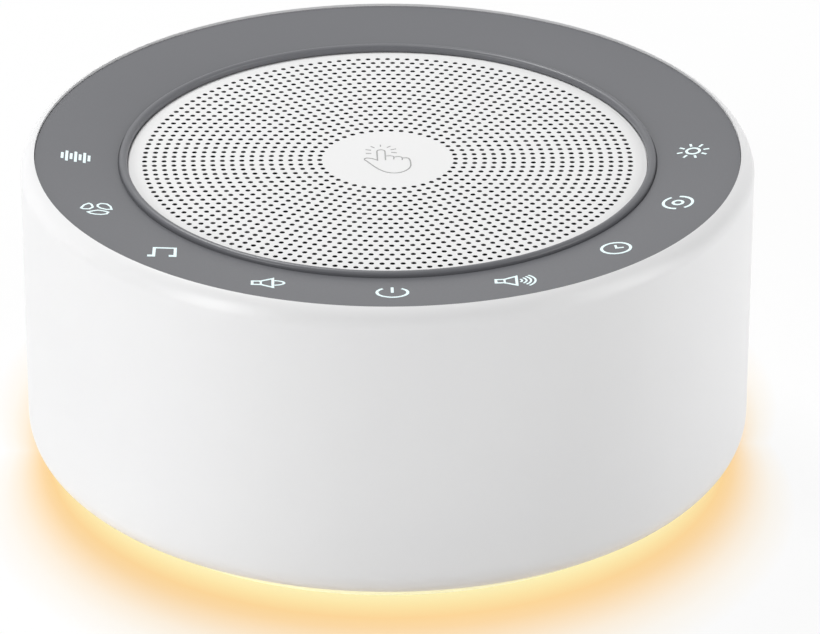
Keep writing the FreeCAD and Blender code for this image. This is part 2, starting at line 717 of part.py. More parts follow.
# Speaker: basket, magnet system, coil, suspension and cone
def make_speaker_frame():
    finish("speaker_gasket", ring("speaker_gasket", deck_opening, f"{deck_opening} + gasket_width",
                                  basket_top, deck_bottom))
    body = turned("basket_pressing", [
        (basket_radius, ear_bottom),
        (basket_radius, basket_top),
        (basket_lip, basket_top),
        (f"{basket_base_radius} - basket_sheet / 2", f"{plate_top} + basket_flange"),
        (f"{plate_bore} + 0.5", f"{plate_top} + basket_flange"),
        (f"{plate_bore} + 0.5", plate_top),
        (basket_base_radius, plate_top),
        (f"{basket_lip} + basket_sheet / 2", ear_bottom),
    ])
    ears = rods_around("basket_ear", "ear_radius", "basket_flange", ear_circle, QUARTERS, ear_bottom)
    tools = rods_around("ear_hole", "ear_bore", "basket_flange + 2", ear_circle, QUARTERS, f"{ear_bottom} - 1")
    window_low = f"({plate_top} + 0.4 * basket_depth)"
    tools += rods_around("basket_window", "basket_depth * 0.4", f"{ear_bottom} - 1 - {window_low}",
                         f"{deck_opening} - 4", DIAGONALS, window_low)
    finish("speaker_basket", cut("speaker_basket", fused("basket_blank", [body] + ears), tools))
    screws("speaker_screws", [around(ear_circle, angle) for angle in QUARTERS], "board_screw_head", "1.3",
           "board_screw_radius", "basket_flange + gasket_thickness + deck_thickness - 0.4", ear_bottom, True)
    finish("speaker_terminals", block("speaker_terminals", "8", "2", "2",
                                      *SPEAKER_PLUG, f"{ear_bottom} - 2"))


def make_magnet_system():
    finish("top_plate", ring("top_plate", plate_bore, plate_radius, plate_bottom, plate_top))
    finish("magnet", ring("magnet", magnet_bore, "magnet_radius", magnet_bottom, plate_bottom))
    finish("pole_yoke", turned("pole_yoke", [
        ("0", yoke_bottom),
        (plate_radius, yoke_bottom),
        (plate_radius, magnet_bottom),
        ("pole_radius", magnet_bottom),
        ("pole_radius", plate_top),
        ("0", plate_top),
    ]))


def make_moving_cone():
    finish("voice_coil_former", ring("voice_coil_former", f"{former_radius} - former_wall", former_radius,
                                     former_bottom, former_top))
    finish("voice_coil_winding", ring("voice_coil_winding", former_radius, winding_radius,
                                      former_bottom, f"{former_bottom} + winding_length"))
    finish("speaker_cone", turned("speaker_cone", [
        (former_radius, cone_bottom),
        (cone_radius, f"{cone_top} - cone_sheet"),
        (cone_radius, cone_top),
        (former_radius, f"{cone_bottom} + cone_sheet"),
    ]))
    slope = f"(cone_depth - cone_sheet) / ({cone_radius} - {former_radius})"
    seat = f"({cone_bottom} + cone_sheet + {slope} * (dust_cap_radius - {former_radius}))"

    def dome(edge, rise):
        return f"(({edge}) ^ 2 + ({rise}) ^ 2) / (2 * ({rise}))"

    inner_edge = "dust_cap_radius - cone_sheet"
    inner_rise = "dust_cap_rise - cone_sheet"
    finish("dust_cap", turned("dust_cap", [
        ("0", f"{seat} + {inner_rise}", "right", dome(inner_edge, inner_rise)),
        (inner_edge, seat),
        ("dust_cap_radius", seat, "left", dome("dust_cap_radius", "dust_cap_rise")),
        ("0", f"{seat} + dust_cap_rise"),
    ]))


def make_suspension():
    inner = f"({cone_radius} + 0.05)"
    outer = f"({deck_opening} - 0.1)"
    roll_start = f"({cone_radius} + 0.4)"
    roll_end = f"({deck_opening} - 1.4)"
    top = f"({basket_top} + surround_sheet)"
    finish("speaker_surround", turned("speaker_surround", [
        (inner, basket_top),
        (roll_start, basket_top, "right", f"({roll_end} - {roll_start}) * 0.53"),
        (roll_end, basket_top),
        (outer, basket_top),
        (outer, top),
        (f"{roll_end} + surround_sheet", top, "left", f"({roll_end} + surround_sheet - {inner}) * 0.52"),
        (inner, top),
    ]))
    waves = 8
    start = f"({former_radius} + 0.2)"
    step = f"(({spider_radius} - {start}) / {waves})"
    lower = [(f"{start} + {index} * {step}", f"{spider_level} + {index % 2} * spider_wave")
             for index in range(waves + 1)]
    upper = [(x, f"{z} + spider_sheet") for x, z in reversed(lower)]
    finish("speaker_spider", turned("speaker_spider", lower + upper))


# Internal cables, each from one plug to the other
def make_cables():
    plug_top = f"({board_top} + connector_height)"
    terminal_y = SPEAKER_PLUG[1]
    cable("speaker_leads", [
        ("0", terminal_y, f"{ear_bottom} - 2"),
        ("0", terminal_y, f"{ear_bottom} - 8"),
        ("0", f"{terminal_y} - 3", f"{ear_bottom} - 13.5"),
        ("0", terminal_y, f"{ear_bottom} - 19"),
        ("0", terminal_y, plug_top),
    ], "1.0")
    x, y = around(icon_circle, 150)
    cable("touch_cable", [
        (x, y, f"{deck_bottom} - 0.6"),
        (x, y, f"{deck_bottom} - 10"),
        (f"{x} + 8", f"{y} + 9", f"{deck_bottom} - 18"),
        ("-19", f"{TOUCH_PLUG[1]} + 1", f"{plug_top} + 9"),
        (*TOUCH_PLUG, f"{plug_top} + 7"),
        (*TOUCH_PLUG, plug_top),
    ], "1.2")
    x, y = around(led_circle, 190)
    cable("light_cable", [
        (x, y, f"{led_board_top} + 3"),
        (x, y, f"{led_board_top} + 9"),
        (f"{x} + 8", f"{y} - 3", f"{led_board_top} + 13.5"),
        (f"{LIGHT_PLUG[0]} - 7", f"{LIGHT_PLUG[1]} + 3", f"{plug_top} + 7"),
        (*LIGHT_PLUG, f"{plug_top} + 6"),
        (*LIGHT_PLUG, plug_top),
    ], "1.0")


def check_document():
    doc.recompute()
    for item in doc.Objects:
        if "Invalid" in item.State or "Error" in item.State:
            raise RuntimeError(f"{item.Label} failed: {item.State}")
    for name, item in PARTS.items():
        shape = item.Shape
        if shape.isNull() or not shape.isValid() or not shape.Solids or shape.Volume <= 0:
            raise RuntimeError(f"{name} has no valid solid")


def main():
    make_housing_shell()
    make_light_diffuser()
    make_bottom_cover()
    make_feet()
    make_light_ring()
    make_main_board()
    make_power_jack()
    make_speaker_deck()
    make_touch_parts()
    make_ring_panel()
    make_grille()
    make_speaker_frame()
    make_magnet_system()
    make_moving_cone()
    make_suspension()
    make_cables()
    check_document()
    os.makedirs("parts", exist_ok=True)
    for name, item in PARTS.items():
        item.Shape.exportStep(os.path.join("parts", name + ".step"))
        print(f"{name}: {len(item.Shape.Solids)} solids, {item.Shape.Volume:.1f} mm3")


main()
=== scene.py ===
"""Looks of the round white noise sound machine, in metres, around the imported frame."""
import math
import bmesh
import bpy
from mathutils import Matrix, Vector


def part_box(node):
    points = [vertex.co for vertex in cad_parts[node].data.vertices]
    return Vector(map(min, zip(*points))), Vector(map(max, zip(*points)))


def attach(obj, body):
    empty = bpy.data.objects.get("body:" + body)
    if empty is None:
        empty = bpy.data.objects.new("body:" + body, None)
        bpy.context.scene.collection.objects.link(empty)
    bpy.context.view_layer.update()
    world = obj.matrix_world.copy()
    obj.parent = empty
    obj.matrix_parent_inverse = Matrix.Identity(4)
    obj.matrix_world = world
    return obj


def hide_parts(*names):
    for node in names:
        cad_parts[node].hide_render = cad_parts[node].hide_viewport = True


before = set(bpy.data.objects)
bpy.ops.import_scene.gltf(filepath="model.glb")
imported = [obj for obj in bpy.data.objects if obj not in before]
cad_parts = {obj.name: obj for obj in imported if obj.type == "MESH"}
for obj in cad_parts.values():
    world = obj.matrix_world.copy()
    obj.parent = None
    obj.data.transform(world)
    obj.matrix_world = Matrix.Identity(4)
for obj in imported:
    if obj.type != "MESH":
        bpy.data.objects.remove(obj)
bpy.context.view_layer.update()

MM = 0.001
BODY = "enclosure"


def srgb(red, green, blue):
    """A colour given as it shows on a screen, 0 to 255, as linear light."""
    def linear(channel):
        share = channel / 255
        return share / 12.92 if share <= 0.04045 else ((share + 0.055) / 1.055) ** 2.4
    return (linear(red), linear(green), linear(blue), 1.0)


# Sizes read from the frame
shell_low, shell_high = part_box("housing_shell")
ring_low, ring_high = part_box("touch_ring_panel")
grille_low, grille_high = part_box("speaker_grille")
diffuser_low, diffuser_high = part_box("light_diffuser")
COVER_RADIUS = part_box("bottom_cover")[1][0]
JACK_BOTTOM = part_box("power_jack_body")[0][2]
BODY_RADIUS = shell_high[0]
SHELL_BOTTOM = shell_low[2]
SHELL_RIM = shell_high[2]
RING_RADIUS = ring_high[0]
RING_EDGE = ring_high[2]
RING_BOTTOM = ring_low[2]
GRILLE_RADIUS = grille_high[0]
GRILLE_TOP = grille_high[2]
GRILLE_BOTTOM = grille_low[2]

# Drum shell
SHELL_WALL = 2.1 * MM
SHOULDER_RADIUS = 3.5 * MM
BASE_EDGE_RADIUS = 5.0 * MM
FLANGE_BORE = 46.5 * MM
FLANGE_THICKNESS = 2.2 * MM
WALL_ROWS = (0.3, 0.5, 0.7)
JACK_AXIS = JACK_BOTTOM + 6.5 * MM
PLUG_HOLE_RADIUS = 4.5 * MM
PLUG_CUT_LENGTH = 12 * MM

# Ring panel with its bead, and the groove between them
GRILLE_VIEW = 39.75 * MM
RING_SEAT_GAP = 0.2 * MM
RING_LIP_LIFT = 0.05 * MM
RIM_INSET = 0.08 * MM
RIM_DROP = 0.12 * MM
RING_DISH = 1.45 * MM
DISH_CURVE = 1.15
DISH_STEPS = 18
BEAD_WIDTH = 1.25 * MM
BEAD_RISE = 1.12 * MM
BEAD_ROUND = 0.75
BEAD_STEPS = 16
GROOVE_WIDTH = 0.2 * MM
GROOVE_DEPTH = 0.15 * MM
GROOVE_EDGE_WIDTH = 0.07 * MM
GROOVE_EDGE_DEPTH = 0.12 * MM
RING_FOOT = GRILLE_VIEW + BEAD_WIDTH
GROOVE_OUTER = RING_FOOT + GROOVE_WIDTH
DISH_LOW = RING_EDGE - RING_DISH

# Light ring under the drum
DIFFUSER_EDGE = 1.6 * MM
DIFFUSER_CHAMFER = 0.3 * MM
DIFFUSER_GAP = 0.02 * MM
DIFFUSER_SEAT_GAP = 0.4 * MM
LEDGE_RISE = 1.6 * MM
LEDGE_THICKNESS = 2.0 * MM
LEDGE_WIDTH = 2.0 * MM
NECK_INNER = 44.8 * MM
NECK_OUTER = 46.3 * MM

# Grille: hole ring n has HOLES_PER_RING times n holes
HOLES_PER_RING = 6
HOLE_PITCH = 1.485 * MM
HOLE_RADIUS = 0.39 * MM
HOLE_BEVEL = 0.05 * MM
HOLE_SIDES = 14
FIRST_HOLE_RING = 7
LAST_HOLE_RING = 25
HOLE_FIELD = (LAST_HOLE_RING + 0.5) * HOLE_PITCH
GRILLE_LAND = GRILLE_VIEW - 0.14 * MM
SLOT_DEPTH = 0.35 * MM
STEEP_NORMAL = 0.3

# Icons and printed mark
ICON_CIRCLE = 47.3 * MM
ICON_SHIFT = -0.5 * MM
ICON_PITCH = 22.3
PRINT_HEIGHT = 0.03 * MM
PRINT_ROOT = -0.05 * MM
STROKE_LIFT = 0.0006 * MM
MITRE_LIMIT = 0.45

AROUND = 256
SHARP_ANGLE = 30


# Materials
class Nodes:
    """A small helper to build one node material."""

    def __init__(self, name):
        self.material = bpy.data.materials.new(name)
        self.material.use_nodes = True
        self.tree = self.material.node_tree
        self.shader = self.tree.nodes["Principled BSDF"]
        self.output = self.tree.nodes["Material Output"]

    def add(self, kind, inputs=None, **settings):
        """A new node, with its settings first and then the values of its inputs."""
        node = self.tree.nodes.new(kind)
        for key, value in settings.items():
            setattr(node, key, value)
        for key, value in (inputs or {}).items():
            node.inputs[key].default_value = value
        return node

    def link(self, source, target):
        self.tree.links.new(source, target)

    def place(self):
        """Object coordinates, in metres."""
        return self.add("ShaderNodeTexCoord").outputs["Object"]

    def noise(self, scale, detail=4.0):
        node = self.add("ShaderNodeTexNoise", {"Scale": scale, "Detail": detail})
        self.link(self.place(), node.inputs["Vector"])
        return node.outputs["Fac"]

    def maths(self, operation, *values):
        """The result of one maths node on sockets or plain numbers."""
        node = self.add("ShaderNodeMath", operation=operation)
        for index, value in enumerate(values):
            if isinstance(value, float):
                node.inputs[index].default_value = value
            else:
                self.link(value, node.inputs[index])
        return node.outputs[0]

    def span(self, source, low, high):
        """A value of 0 to 1 turned into low to high."""
        node = self.add("ShaderNodeMapRange", {"To Min": low, "To Max": high})
        self.link(source, node.inputs["Value"])
        return node.outputs["Result"]

    def tint(self, source, first, second):
        """A colour between two, by a value of 0 to 1."""
        node = self.add("ShaderNodeMix", {"A": first, "B": second}, data_type="RGBA")
        self.link(source, node.inputs["Factor"])
        return node.outputs["Result"]

    def bump(self, source, height, strength=1.0):
        node = self.add("ShaderNodeBump", {"Distance": height, "Strength": strength})
        self.link(source, node.inputs["Height"])
        self.link(node.outputs["Normal"], self.shader.inputs["Normal"])

    def surface(self, **values):
        """Values of the surface shader, by input name with underscores for spaces."""
        for key, value in values.items():
            self.shader.inputs[key.replace("_", " ")].default_value = value


def shade(value):
    """A neutral screen grey as a colour."""
    return srgb(value, value, value)


def plastic(name, colour, other, rough, grain=1500, height=0.004, metallic=0.0, sheen=0.5):
    """A moulded surface: slow colour drift, fine spark texture (height in mm) and uneven gloss."""
    m = Nodes(name)
    m.link(m.tint(m.noise(35, 3), srgb(*colour), srgb(*other)), m.shader.inputs["Base Color"])
    fine = m.noise(grain, 2)
    m.link(m.span(fine, *rough), m.shader.inputs["Roughness"])
    m.bump(fine, height * MM, 0.5)
    m.surface(Metallic=metallic, Specular_IOR_Level=sheen)
    return m.material


def glowing(name, drift, colour, other, strength, rough=0.5):
    """A surface with a weak light of its own; drift is the scale and detail of its colour noise."""
    m = Nodes(name)
    glow = m.tint(m.noise(*drift), srgb(*colour), srgb(*other))
    m.link(glow, m.shader.inputs["Base Color"])
    m.link(glow, m.shader.inputs["Emission Color"])
    m.surface(Emission_Strength=strength, Roughness=rough)
    return m


# Moulded surfaces: name, two colours, range of roughness, and what differs from the usual
MOULDED = {
    "shell": ("shell_satin", (240, 240, 240), (236, 236, 237), (0.30, 0.38),
              {"grain": 1900, "height": 0.002}),
    "ring": ("ring_gloss", (102, 103, 107), (107, 108, 112), (0.32, 0.42),
             {"grain": 2600, "height": 0.0015, "sheen": 0.34}),
    "grille": ("grille_satin", (247, 247, 247), (243, 243, 243), (0.42, 0.52),
               {"grain": 2200, "height": 0.002}),
    "inner_white": ("inner_white", (226, 226, 222), (216, 216, 212), (0.45, 0.6), {}),
    "inner_black": ("inner_black", (40, 40, 42), (30, 30, 32), (0.45, 0.6), {}),
    # Painted shade: the white grille's hole walls are made dark so that the holes look deep and shaded
    "hole_painted_shade": ("grille_hole_painted_shade", (26, 26, 26), (20, 20, 20), (0.8, 0.9), {}),
    "rubber": ("foot_rubber", (52, 52, 54), (40, 40, 42), (0.65, 0.8), {"grain": 2400, "height": 0.01}),
    "board": ("solder_mask", (24, 92, 58), (18, 78, 50), (0.3, 0.4), {"grain": 900, "height": 0.01}),
    "steel": ("zinc_steel", (190, 190, 192), (170, 170, 174), (0.25, 0.4), {"grain": 1200, "metallic": 1.0}),
    "copper": ("copper", (196, 120, 72), (180, 104, 60), (0.3, 0.4), {"metallic": 1.0}),
    "ferrite": ("ferrite", (66, 66, 70), (52, 52, 56), (0.6, 0.75), {"grain": 1300, "height": 0.02}),
    "cone": ("cone_paper", (70, 70, 72), (56, 56, 58), (0.75, 0.9), {"grain": 900, "height": 0.03}),
    "foam": ("foam", (42, 42, 44), (30, 30, 32), (0.85, 0.95), {"grain": 1800, "height": 0.05}),
    "former": ("coil_former", (176, 140, 96), (160, 122, 80), (0.6, 0.75), {"grain": 1100}),
    "cable": ("cable_sheath", (70, 70, 74), (58, 58, 62), (0.5, 0.6), {}),
    "guide": ("light_guide", (226, 240, 244), (214, 232, 238), (0.15, 0.25), {}),
}


def make_cloth():
    m = Nodes("acoustic_cloth")
    weave = m.add("ShaderNodeTexChecker", {"Scale": 2600})
    m.link(m.place(), weave.inputs["Vector"])
    m.link(m.tint(weave.outputs["Fac"], shade(14), shade(20)), m.shader.inputs["Base Color"])
    m.surface(Roughness=0.95)
    m.bump(weave.outputs["Fac"], 0.02 * MM)
    return m.material


def make_diffuser_light():
    m = glowing("diffuser_light", (160, 2), (255, 252, 214), (255, 249, 204), 0.3, 0.45)
    m.bump(m.noise(1500), 0.01 * MM, 0.4)
    return m.material


def make_ink():
    m = Nodes("grey_print")
    m.link(m.tint(m.noise(1200), shade(168), shade(158)), m.shader.inputs["Base Color"])
    m.surface(Roughness=0.5)
    return m.material


def make_materials():
    made = {key: plastic(*row[:4], **row[4]) for key, row in MOULDED.items()}
    made["cloth"] = make_cloth()
    made["lamp"] = glowing("lamp_package", (900,), (255, 236, 186), (255, 226, 160), 1.5).material
    made["diffuser"] = make_diffuser_light()
    made["icon"] = glowing("icon_light", (700,), (234, 249, 250), (226, 246, 248), 0.25, 0.4).material
    made["ink"] = make_ink()
    return made


MATERIALS = make_materials()


def dress(obj, material):
    obj.data.materials.clear()
    obj.data.materials.append(MATERIALS[material])
    return obj


# Mesh helpers
def link(name, data):
    """A new object in the scene."""
    obj = bpy.data.objects.new(name, data)
    bpy.context.scene.collection.objects.link(obj)
    return obj


def baked(name, bm):
    """The finished mesh of a bmesh."""
    mesh = bpy.data.meshes.new(name)
    bm.to_mesh(mesh)
    bm.free()
    return mesh


def add_piece(name, mesh, material, body=BODY, nodes=(), smooth_angle=SHARP_ANGLE):
    obj = link(name, mesh)
    dress(obj, material)
    mesh.shade_smooth()
    mesh.set_sharp_from_angle(angle=math.radians(smooth_angle))
    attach(obj, body)
    if nodes:
        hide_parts(*nodes)
    return obj


def arc(centre, radius, start, end, steps=10):
    """Points (radius, height) on an arc in the section plane, angles in degrees."""
    points = []
    for step in range(steps + 1):
        angle = math.radians(start + (end - start) * step / steps)
        points.append((centre[0] + radius * math.cos(angle), centre[1] + radius * math.sin(angle)))
    return points


def lathe(name, section, around=AROUND):
    """A closed ring mesh from section points (radius, height) that run counter-clockwise."""
    bm = bmesh.new()
    loops = []
    for step in range(around):
        angle = 2 * math.pi * step / around
        cosine, sine = math.cos(angle), math.sin(angle)
        loops.append([bm.verts.new((r * cosine, r * sine, z)) for r, z in section])
    count = len(section)
    for step in range(around):
        here, there = loops[step], loops[(step + 1) % around]
        for index in range(count):
            after = (index + 1) % count
            bm.faces.new((here[index], there[index], there[after], here[after]))
    bmesh.ops.recalc_face_normals(bm, faces=bm.faces)
    return baked(name, bm)


def circle_verts(bm, radius, z, count, x=0.0, y=0.0):
    """A level circle of new vertices about the point (x, y)."""
    turns = [2 * math.pi * step / count for step in range(count)]
    return [bm.verts.new((x + radius * math.cos(turn), y + radius * math.sin(turn), z)) for turn in turns]


def join_circles(bm, low, high):
    """A wall between two circles, which faces away from the axis when low is below high."""
    for index in range(len(low)):
        after = (index + 1) % len(low)
        bm.faces.new((low[index], low[after], high[after], high[index]))


def make_shell():
    lip_reach = SHOULDER_RADIUS - SHELL_WALL
    shoulder = SHELL_RIM - math.sqrt(SHOULDER_RADIUS ** 2 - lip_reach ** 2)
    lip_angle = math.degrees(math.acos(lip_reach / SHOULDER_RADIUS))
    inner = BODY_RADIUS - SHELL_WALL
    flange_top = SHELL_BOTTOM + FLANGE_THICKNESS
    base_centre = (BODY_RADIUS - BASE_EDGE_RADIUS, SHELL_BOTTOM + BASE_EDGE_RADIUS)
    section = [(FLANGE_BORE, SHELL_BOTTOM)]
    section += arc(base_centre, BASE_EDGE_RADIUS, -90, 0, 14)
    section += [(BODY_RADIUS, SHELL_BOTTOM + share * (shoulder - SHELL_BOTTOM)) for share in WALL_ROWS]
    section += arc((BODY_RADIUS - SHOULDER_RADIUS, shoulder), SHOULDER_RADIUS, 0, lip_angle, 12)
    section += [(inner, RING_BOTTOM), (inner, flange_top), (FLANGE_BORE, flange_top)]
    mesh = lathe("housing_shell_skin", section)
    piece = add_piece("drum_shell", mesh, "shell", nodes=["housing_shell"])
    cut_plug_hole(piece)


def cut_plug_hole(piece):
    """The hole at the back for the power plug."""
    bm = bmesh.new()
    bmesh.ops.create_cone(bm, cap_ends=True, segments=64, radius1=PLUG_HOLE_RADIUS, radius2=PLUG_HOLE_RADIUS,
                          depth=PLUG_CUT_LENGTH)
    bmesh.ops.rotate(bm, verts=bm.verts, matrix=Matrix.Rotation(math.radians(90), 3, "X"))
    bmesh.ops.translate(bm, verts=bm.verts, vec=(0, BODY_RADIUS, JACK_AXIS))
    cutter = link("plug_cutter", baked("plug_cutter", bm))
    change = piece.modifiers.new("plug_hole", "BOOLEAN")
    change.object = cutter
    change.solver = "EXACT"
    bpy.context.view_layer.update()
    shaped = bpy.data.meshes.new_from_object(piece.evaluated_get(bpy.context.evaluated_depsgraph_get()))
    piece.modifiers.clear()
    piece.data = shaped
    bpy.data.objects.remove(cutter)
    shaped.set_sharp_from_angle(angle=math.radians(SHARP_ANGLE))


def ring_height(radius):
    """Height of the dished ring face at a radius: steeper towards the middle, level at the rim."""
    share = (RING_RADIUS - radius) / (RING_RADIUS - GROOVE_OUTER)
    return RING_EDGE - RING_DISH * share ** DISH_CURVE


def make_ring():
    seat = GRILLE_RADIUS + RING_SEAT_GAP
    under = GRILLE_TOP + RING_LIP_LIFT
    rim = RING_RADIUS - RIM_INSET
    section = [(seat, under), (seat, RING_BOTTOM),
               (RING_RADIUS, RING_BOTTOM), (RING_RADIUS, RING_EDGE - RIM_DROP)]
    for step in range(DISH_STEPS + 1):
        radius = rim - (rim - GROOVE_OUTER) * step / DISH_STEPS
        section.append((radius, ring_height(radius)))
    section += [(GROOVE_OUTER - GROOVE_EDGE_WIDTH, DISH_LOW - GROOVE_EDGE_DEPTH),
                (RING_FOOT, DISH_LOW - GROOVE_DEPTH)]
    bead = BEAD_WIDTH / 2
    bead_height = bead * BEAD_ROUND
    bead_base = GRILLE_TOP + BEAD_RISE - bead_height
    for step in range(BEAD_STEPS + 1):
        angle = math.pi * step / BEAD_STEPS
        section.append((GRILLE_VIEW + bead + bead * math.cos(angle),
                        bead_base + bead_height * math.sin(angle)))
    section.append((GRILLE_VIEW, under))
    add_piece("ring_panel", lathe("ring_panel", section), "ring", nodes=["touch_ring_panel"],
              smooth_angle=40)


def make_diffuser():
    low, top = diffuser_low[2], diffuser_high[2]
    rim = diffuser_high[0]
    seat = COVER_RADIUS + DIFFUSER_SEAT_GAP
    ledge = low + LEDGE_RISE
    ledge_top = ledge + LEDGE_THICKNESS
    ledge_bore = seat - LEDGE_WIDTH
    under_shell = SHELL_BOTTOM - DIFFUSER_GAP
    section = [(ledge_bore, ledge), (seat, ledge), (seat, low)]
    section += arc((rim - DIFFUSER_EDGE, low + DIFFUSER_EDGE), DIFFUSER_EDGE, -90, 0, 8)
    section += [(rim, under_shell - DIFFUSER_CHAMFER), (rim - DIFFUSER_CHAMFER, under_shell),
                (NECK_OUTER, under_shell), (NECK_OUTER, top), (NECK_INNER, top), (NECK_INNER, ledge_top),
                (ledge_bore, ledge_top)]
    add_piece("base_light_ring", lathe("base_light_ring", section), "diffuser", nodes=["light_diffuser"])


def make_grille():
    """The perforated disc, filled band by band between circles that lie between the hole rings."""
    sides = HOLE_SIDES
    bm = bmesh.new()
    circles = {}

    def band_edge(number, level):
        """The circle outside a hole ring at the bottom (0) or top (1), shared by the bands on both sides."""
        if (number, level) not in circles:
            if number < LAST_HOLE_RING:
                radius, count = (number + 0.5) * HOLE_PITCH, 2 * HOLES_PER_RING * (number + 1)
            else:
                radius, count = (GRILLE_LAND if level else GRILLE_RADIUS), AROUND
            z = GRILLE_TOP if level else GRILLE_BOTTOM
            circles[number, level] = circle_verts(bm, radius, z, count)
        return circles[number, level]

    def edge_loop(verts):
        return [bm.edges.get((a, b)) or bm.edges.new((a, b)) for a, b in zip(verts, verts[1:] + verts[:1])]

    def hole(number, step):
        """One hole with its wall and bevel: its lower and upper circle."""
        angle = 2 * math.pi * step / (HOLES_PER_RING * number)
        x = number * HOLE_PITCH * math.cos(angle)
        y = number * HOLE_PITCH * math.sin(angle)
        low, neck, high = [circle_verts(bm, radius, z, sides, x, y) for radius, z in (
            (HOLE_RADIUS, GRILLE_BOTTOM), (HOLE_RADIUS, GRILLE_TOP - HOLE_BEVEL),
            (HOLE_RADIUS + HOLE_BEVEL, GRILLE_TOP))]
        join_circles(bm, neck, low)
        join_circles(bm, high, neck)
        return low, high

    def fill(number, level, holes):
        """The flat face of one band, around its holes."""
        edges = edge_loop(band_edge(number - 1, level)) + edge_loop(band_edge(number, level))
        for circle_pair in holes:
            edges += edge_loop(circle_pair[level])
        made = bmesh.ops.triangle_fill(bm, edges=edges, use_beauty=True, normal=(0, 0, 1 if level else -1))
        for face in made["geom"]:
            if isinstance(face, bmesh.types.BMFace):
                face.normal_update()
                if (face.normal.z > 0) != bool(level):
                    face.normal_flip()

    for number in range(FIRST_HOLE_RING, LAST_HOLE_RING + 1):
        holes = [hole(number, step) for step in range(HOLES_PER_RING * number)]
        for level in (0, 1):
            fill(number, level, holes)
    bm.faces.new(band_edge(FIRST_HOLE_RING - 1, 1))
    bm.faces.new(list(reversed(band_edge(FIRST_HOLE_RING - 1, 0))))
    slot_floor = GRILLE_TOP - SLOT_DEPTH
    rim = [band_edge(LAST_HOLE_RING, 0), circle_verts(bm, GRILLE_RADIUS, slot_floor, AROUND),
           circle_verts(bm, GRILLE_LAND, slot_floor, AROUND), band_edge(LAST_HOLE_RING, 1)]
    for low, high in zip(rim, rim[1:]):
        join_circles(bm, low, high)
    mesh = baked("grille_disc", bm)
    add_piece("grille_disc", mesh, "grille", nodes=["speaker_grille"], smooth_angle=25)
    # Painted shade: the steep faces inside the hole field, which are the hole walls, wear the dark
    # painted-shade material
    mesh.materials.append(MATERIALS["hole_painted_shade"])
    for face in mesh.polygons:
        if abs(face.normal.z) < STEEP_NORMAL and face.center.xy.length < HOLE_FIELD:
            face.material_index = 1


# Icons and printed mark: flat strokes laid on the face below them
def bezier(first, second, third, fourth, steps=8):
    points = []
    for step in range(steps + 1):
        t = step / steps
        u = 1 - t
        points.append(tuple(u ** 3 * a + 3 * u * u * t * b + 3 * u * t * t * c + t ** 3 * d
                            for a, b, c, d in zip(first, second, third, fourth)))
    return points


def round_arc(centre, radius, start, end, steps=16, squeeze=1.0):
    return [(centre[0] + radius * math.cos(math.radians(start + (end - start) * step / steps)),
             centre[1] + squeeze * radius * math.sin(math.radians(start + (end - start) * step / steps)))
            for step in range(steps + 1)]


def stroke_sides(points, width, closed):
    """The two sides of a stroke, with mitred corners and square ends."""
    pts = [Vector(p) for p in points]
    count = len(pts)
    left, right = [], []
    for index, point in enumerate(pts):
        ways = []
        if index or closed:
            ways.append((point - pts[index - 1]).normalized())
        if index < count - 1 or closed:
            ways.append((pts[(index + 1) % count] - point).normalized())
        way = sum(ways, Vector((0, 0))).normalized()
        normal = Vector((-way.y, way.x))
        side = Vector((-ways[0].y, ways[0].x))
        reach = width / 2 / max(normal.dot(side), MITRE_LIMIT)
        left.append(point + normal * reach)
        right.append(point - normal * reach)
    return left, right


class Print:
    """A mark drawn with strokes in millimetres about its own centre, then laid on a surface."""

    def __init__(self):
        self.strokes = []

    def line(self, points, width, closed=False):
        self.strokes.append((points, width, closed))

    def lay(self, name, material, height_at, place, turn, rise, slot):
        """The mark as a thin piece; each stroke lies a hair above the one before, so that none flicker."""
        bm = bmesh.new()
        turned_by = Matrix.Rotation(math.radians(turn), 2) @ Matrix(((1, 0), (rise, 1)))

        def vertex(point, lift):
            x, y = turned_by @ Vector(point) * MM + Vector(place)
            return bm.verts.new((x, y, height_at(math.hypot(x, y)) + lift))

        for order, (points, width, closed) in enumerate(self.strokes):
            left, right = stroke_sides(points, width, closed)
            top = PRINT_HEIGHT + order * STROKE_LIFT
            rows = [[vertex(p, lift) for p in side] for lift in (top, PRINT_ROOT) for side in (left, right)]
            count = len(points)
            for index in range(count if closed else count - 1):
                after = (index + 1) % count
                for one, two in ((1, 0), (0, 2), (2, 3), (3, 1)):
                    bm.faces.new((rows[one][index], rows[one][after], rows[two][after], rows[two][index]))
            if not closed:
                bm.faces.new((rows[0][0], rows[2][0], rows[3][0], rows[1][0]))
                bm.faces.new((rows[0][-1], rows[1][-1], rows[3][-1], rows[2][-1]))
        bmesh.ops.recalc_face_normals(bm, faces=bm.faces)
        add_piece(name, baked(name, bm), material)


# Stroke widths in millimetres
LINE = 0.42
MEDIUM_LINE = 0.36
FINE_LINE = 0.3
LEAF_LINE = 0.32
HAND_LINE = 0.2
FINGER_LINE = 0.19
RAY_LINE = 0.18


def draw_wave():
    """Seven upright bars, short and tall in turn."""
    short, tall, gap = 1.0, 1.75, 0.68
    mark = Print()
    for index in range(7):
        half = tall if index % 2 else short
        x = (index - 3) * gap
        mark.line([(x, -half), (x, half)], LINE)
    return mark


def draw_fan():
    """Three blades about a centre."""
    mark = Print()
    mark.line([(-2.25, 0.05), (-1.8, 1.25), (-1.15, 1.85), (-0.75, 1.5), (-0.5, 0.45), (-1.0, -0.25),
               (-1.9, -0.25)], LEAF_LINE, closed=True)
    mark.line([(0.2, 1.4), (0.7, 1.9), (1.55, 1.75), (2.1, 0.9), (2.3, -0.2), (1.5, -0.3), (0.6, 0.2),
               (0.2, 0.8)], LEAF_LINE, closed=True)
    mark.line([(-1.2, -1.4), (-0.4, -0.95), (0.25, -0.65), (1.1, -0.85), (1.85, -1.3), (1.6, -2.0),
               (0.8, -2.25), (-0.1, -2.15), (-0.8, -1.85)], LEAF_LINE, closed=True)
    return mark


